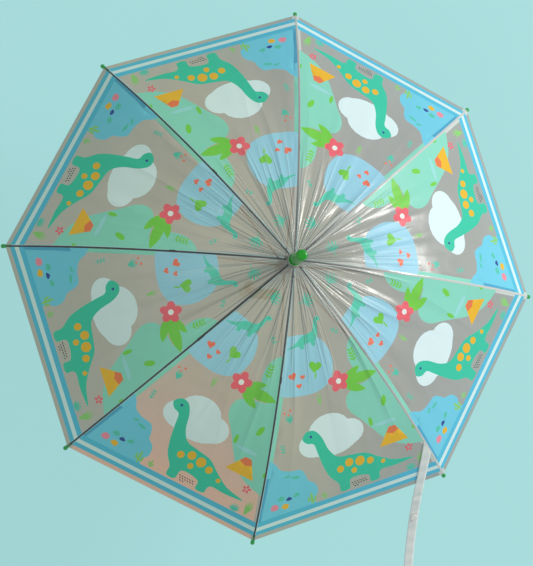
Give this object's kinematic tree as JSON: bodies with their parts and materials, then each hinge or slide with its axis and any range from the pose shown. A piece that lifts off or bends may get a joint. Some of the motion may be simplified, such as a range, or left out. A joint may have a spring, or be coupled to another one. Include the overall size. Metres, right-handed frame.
{
  "type": "umbrella",
  "caption": "Child's dome umbrella, open: ribbed clear printed canopy, sliding runner with stretchers, green ferrule, tips and crook handle, and a closure strap.",
  "frame": {"origin": "the middle of the hand grip, on the shaft's axis", "axes": "+Z along the shaft towards the ferrule; +Y towards rib 1; the crook bends towards +X"},
  "size_m": [0.8426, 0.8809, 0.6618],
  "materials": {
    "shaft_metal": "plated steel tube",
    "green_plastic": "moulded, glossy",
    "white_plastic": "moulded",
    "black_rod": "black lacquered rod",
    "bright_wire": "drawn steel wire",
    "spring_steel": "spring steel",
    "canopy_film": "clear film printed on its inner face",
    "strap_film": "frosted film",
    "snap_plastic": "moulded press snap"
  },
  "bodies": {
    "shaft": {"shaft_tube": "shaft_metal", "ferrule_cap": "green_plastic", "crown_washer": "white_plastic", "top_notch": "white_plastic", "notch_wire": "bright_wire", "handle": "green_plastic"},
    "top_catch": {"top_catch": "spring_steel"},
    "bottom_catch": {"bottom_catch": "spring_steel"},
    "runner": {"runner": "white_plastic", "runner_wire": "bright_wire"},
    "strap": {"closure_strap": "strap_film", "snap_fastener": "snap_plastic"},
    "rib_1": {"rib_inner_1": "black_rod", "rib_joint_1": "black_rod", "canopy_sector_1": "canopy_film"},
    "rib_end_1": {"rib_outer_1": "black_rod", "rib_tip_1": "green_plastic"},
    "stretcher_1": {"stretcher_1": "black_rod"},
    "rib_2": {"rib_inner_2": "black_rod", "rib_joint_2": "black_rod", "canopy_sector_2": "canopy_film"},
    "rib_end_2": {"rib_outer_2": "black_rod", "rib_tip_2": "green_plastic"},
    "stretcher_2": {"stretcher_2": "black_rod"},
    "rib_3": {"rib_inner_3": "black_rod", "rib_joint_3": "black_rod", "canopy_sector_3": "canopy_film"},
    "rib_end_3": {"rib_outer_3": "black_rod", "rib_tip_3": "green_plastic"},
    "stretcher_3": {"stretcher_3": "black_rod"},
    "rib_4": {"rib_inner_4": "black_rod", "rib_joint_4": "black_rod", "canopy_sector_4": "canopy_film"},
    "rib_end_4": {"rib_outer_4": "black_rod", "rib_tip_4": "green_plastic"},
    "stretcher_4": {"stretcher_4": "black_rod"},
    "rib_5": {"rib_inner_5": "black_rod", "rib_joint_5": "black_rod", "canopy_sector_5": "canopy_film"},
    "rib_end_5": {"rib_outer_5": "black_rod", "rib_tip_5": "green_plastic"},
    "stretcher_5": {"stretcher_5": "black_rod"},
    "rib_6": {"rib_inner_6": "black_rod", "rib_joint_6": "black_rod", "canopy_sector_6": "canopy_film"},
    "rib_end_6": {"rib_outer_6": "black_rod", "rib_tip_6": "green_plastic"},
    "stretcher_6": {"stretcher_6": "black_rod"},
    "rib_7": {"rib_inner_7": "black_rod", "rib_joint_7": "black_rod", "canopy_sector_7": "canopy_film"},
    "rib_end_7": {"rib_outer_7": "black_rod", "rib_tip_7": "green_plastic"},
    "stretcher_7": {"stretcher_7": "black_rod"},
    "rib_8": {"rib_inner_8": "black_rod", "rib_joint_8": "black_rod", "canopy_sector_8": "canopy_film"},
    "rib_end_8": {"rib_outer_8": "black_rod", "rib_tip_8": "green_plastic"},
    "stretcher_8": {"stretcher_8": "black_rod"}
  },
  "joints": [
    {"name": "canopy_fold", "type": "hinge", "parent": "shaft", "child": "rib_1", "pos_m": [0, 0.009, 0.513], "axis": [-1, 0, 0], "range_deg": [0, 71], "deforming": ["canopy_sector_1", "canopy_sector_2", "canopy_sector_3", "canopy_sector_4", "canopy_sector_5", "canopy_sector_6", "canopy_sector_7", "canopy_sector_8", "top_catch", "bottom_catch"]},
    {"name": "rib_fold_2", "type": "hinge", "parent": "shaft", "child": "rib_2", "pos_m": [0.00636, 0.00636, 0.513], "axis": [-0.7071, 0.7071, 0], "range_deg": [0, 71.1]},
    {"name": "rib_fold_3", "type": "hinge", "parent": "shaft", "child": "rib_3", "pos_m": [0.009, 0, 0.513], "axis": [0, 1, 0], "range_deg": [0, 71.1]},
    {"name": "rib_fold_4", "type": "hinge", "parent": "shaft", "child": "rib_4", "pos_m": [0.00636, -0.00636, 0.513], "axis": [0.7071, 0.7071, 0], "range_deg": [0, 71.1]},
    {"name": "rib_fold_5", "type": "hinge", "parent": "shaft", "child": "rib_5", "pos_m": [0, -0.009, 0.513], "axis": [1, 0, 0], "range_deg": [0, 71.1]},
    {"name": "rib_fold_6", "type": "hinge", "parent": "shaft", "child": "rib_6", "pos_m": [-0.00636, -0.00636, 0.513], "axis": [0.7071, -0.7071, 0], "range_deg": [0, 71.1]},
    {"name": "rib_fold_7", "type": "hinge", "parent": "shaft", "child": "rib_7", "pos_m": [-0.009, 0, 0.513], "axis": [0, -1, 0], "range_deg": [0, 71.1]},
    {"name": "rib_fold_8", "type": "hinge", "parent": "shaft", "child": "rib_8", "pos_m": [-0.00636, 0.00636, 0.513], "axis": [-0.7071, -0.7071, 0], "range_deg": [0, 71.1]},
    {"name": "stretcher_turn_1", "type": "hinge", "parent": "rib_1", "child": "stretcher_1", "pos_m": [0, 0.16806, 0.47199], "axis": [-1, 0, 0], "range_deg": [-142.1, 0]},
    {"name": "stretcher_turn_2", "type": "hinge", "parent": "rib_2", "child": "stretcher_2", "pos_m": [0.11884, 0.11884, 0.47199], "axis": [-0.7071, 0.7071, 0], "range_deg": [-142.1, 0]},
    {"name": "stretcher_turn_3", "type": "hinge", "parent": "rib_3", "child": "stretcher_3", "pos_m": [0.16806, 0, 0.47199], "axis": [0, 1, 0], "range_deg": [-142.1, 0]},
    {"name": "stretcher_turn_4", "type": "hinge", "parent": "rib_4", "child": "stretcher_4", "pos_m": [0.11884, -0.11884, 0.47199], "axis": [0.7071, 0.7071, 0], "range_deg": [-142.1, 0]},
    {"name": "stretcher_turn_5", "type": "hinge", "parent": "rib_5", "child": "stretcher_5", "pos_m": [0, -0.16806, 0.47199], "axis": [1, 0, 0], "range_deg": [-142.1, 0]},
    {"name": "stretcher_turn_6", "type": "hinge", "parent": "rib_6", "child": "stretcher_6", "pos_m": [-0.11884, -0.11884, 0.47199], "axis": [0.7071, -0.7071, 0], "range_deg": [-142.1, 0]},
    {"name": "stretcher_turn_7", "type": "hinge", "parent": "rib_7", "child": "stretcher_7", "pos_m": [-0.16806, 0, 0.47199], "axis": [0, -1, 0], "range_deg": [-142.1, 0]},
    {"name": "stretcher_turn_8", "type": "hinge", "parent": "rib_8", "child": "stretcher_8", "pos_m": [-0.11884, 0.11884, 0.47199], "axis": [-0.7071, -0.7071, 0], "range_deg": [-142.1, 0]},
    {"name": "rib_flex_1", "type": "hinge", "parent": "rib_1", "child": "rib_end_1", "pos_m": [0, 0.22523, 0.4539], "axis": [-1, 0, 0], "range_deg": [-11.2, 0]},
    {"name": "rib_flex_2", "type": "hinge", "parent": "rib_2", "child": "rib_end_2", "pos_m": [0.15926, 0.15926, 0.4539], "axis": [-0.7071, 0.7071, 0], "range_deg": [-11.2, 0]},
    {"name": "rib_flex_3", "type": "hinge", "parent": "rib_3", "child": "rib_end_3", "pos_m": [0.22523, 0, 0.4539], "axis": [0, 1, 0], "range_deg": [-11.2, 0]},
    {"name": "rib_flex_4", "type": "hinge", "parent": "rib_4", "child": "rib_end_4", "pos_m": [0.15926, -0.15926, 0.4539], "axis": [0.7071, 0.7071, 0], "range_deg": [-11.2, 0]},
    {"name": "rib_flex_5", "type": "hinge", "parent": "rib_5", "child": "rib_end_5", "pos_m": [0, -0.22523, 0.4539], "axis": [1, 0, 0], "range_deg": [-11.2, 0]},
    {"name": "rib_flex_6", "type": "hinge", "parent": "rib_6", "child": "rib_end_6", "pos_m": [-0.15926, -0.15926, 0.4539], "axis": [0.7071, -0.7071, 0], "range_deg": [-11.2, 0]},
    {"name": "rib_flex_7", "type": "hinge", "parent": "rib_7", "child": "rib_end_7", "pos_m": [-0.22523, 0, 0.4539], "axis": [0, -1, 0], "range_deg": [-11.2, 0]},
    {"name": "rib_flex_8", "type": "hinge", "parent": "rib_8", "child": "rib_end_8", "pos_m": [-0.15926, 0.15926, 0.4539], "axis": [-0.7071, -0.7071, 0], "range_deg": [-11.2, 0]},
    {"name": "runner_turn", "type": "hinge", "parent": "stretcher_1", "child": "runner", "pos_m": [0, 0.009, 0.43099], "axis": [-1, 0, 0], "range_deg": [0, 71.1]},
    {"name": "top_catch_press", "type": "hinge", "parent": "shaft", "child": "top_catch", "pos_m": [0.00259, 0.00107, 0.37759], "axis": [0.3827, -0.9239, 0], "range_deg": [0, 7.5], "stiffness_Nm_per_rad": 1},
    {"name": "bottom_catch_press", "type": "hinge", "parent": "shaft", "child": "bottom_catch", "pos_m": [0.00259, 0.00107, 0.18089], "axis": [-0.3827, 0.9239, 0], "range_deg": [0, 7.5], "stiffness_Nm_per_rad": 1},
    {"name": "strap_lift", "type": "hinge", "parent": "rib_end_4", "child": "strap", "pos_m": [0.24956, -0.25069, 0.38624], "axis": [-0.5799, 0.5799, 0.5722], "range_deg": [0, 70]}
  ],
  "couplings": [
    {"joint": "rib_fold_2", "follows": "canopy_fold", "ratio": 1},
    {"joint": "rib_fold_3", "follows": "canopy_fold", "ratio": 1},
    {"joint": "rib_fold_4", "follows": "canopy_fold", "ratio": 1},
    {"joint": "rib_fold_5", "follows": "canopy_fold", "ratio": 1},
    {"joint": "rib_fold_6", "follows": "canopy_fold", "ratio": 1},
    {"joint": "rib_fold_7", "follows": "canopy_fold", "ratio": 1},
    {"joint": "rib_fold_8", "follows": "canopy_fold", "ratio": 1},
    {"joint": "stretcher_turn_1", "follows": "canopy_fold", "ratio": -2},
    {"joint": "stretcher_turn_2", "follows": "canopy_fold", "ratio": -2},
    {"joint": "stretcher_turn_3", "follows": "canopy_fold", "ratio": -2},
    {"joint": "stretcher_turn_4", "follows": "canopy_fold", "ratio": -2},
    {"joint": "stretcher_turn_5", "follows": "canopy_fold", "ratio": -2},
    {"joint": "stretcher_turn_6", "follows": "canopy_fold", "ratio": -2},
    {"joint": "stretcher_turn_7", "follows": "canopy_fold", "ratio": -2},
    {"joint": "stretcher_turn_8", "follows": "canopy_fold", "ratio": -2},
    {"joint": "rib_flex_1", "follows": "canopy_fold", "ratio": -0.156},
    {"joint": "rib_flex_2", "follows": "canopy_fold", "ratio": -0.156},
    {"joint": "rib_flex_3", "follows": "canopy_fold", "ratio": -0.156},
    {"joint": "rib_flex_4", "follows": "canopy_fold", "ratio": -0.156},
    {"joint": "rib_flex_5", "follows": "canopy_fold", "ratio": -0.156},
    {"joint": "rib_flex_6", "follows": "canopy_fold", "ratio": -0.156},
    {"joint": "rib_flex_7", "follows": "canopy_fold", "ratio": -0.156},
    {"joint": "rib_flex_8", "follows": "canopy_fold", "ratio": -0.156},
    {"joint": "runner_turn", "follows": "canopy_fold", "ratio": 1}
  ]
}
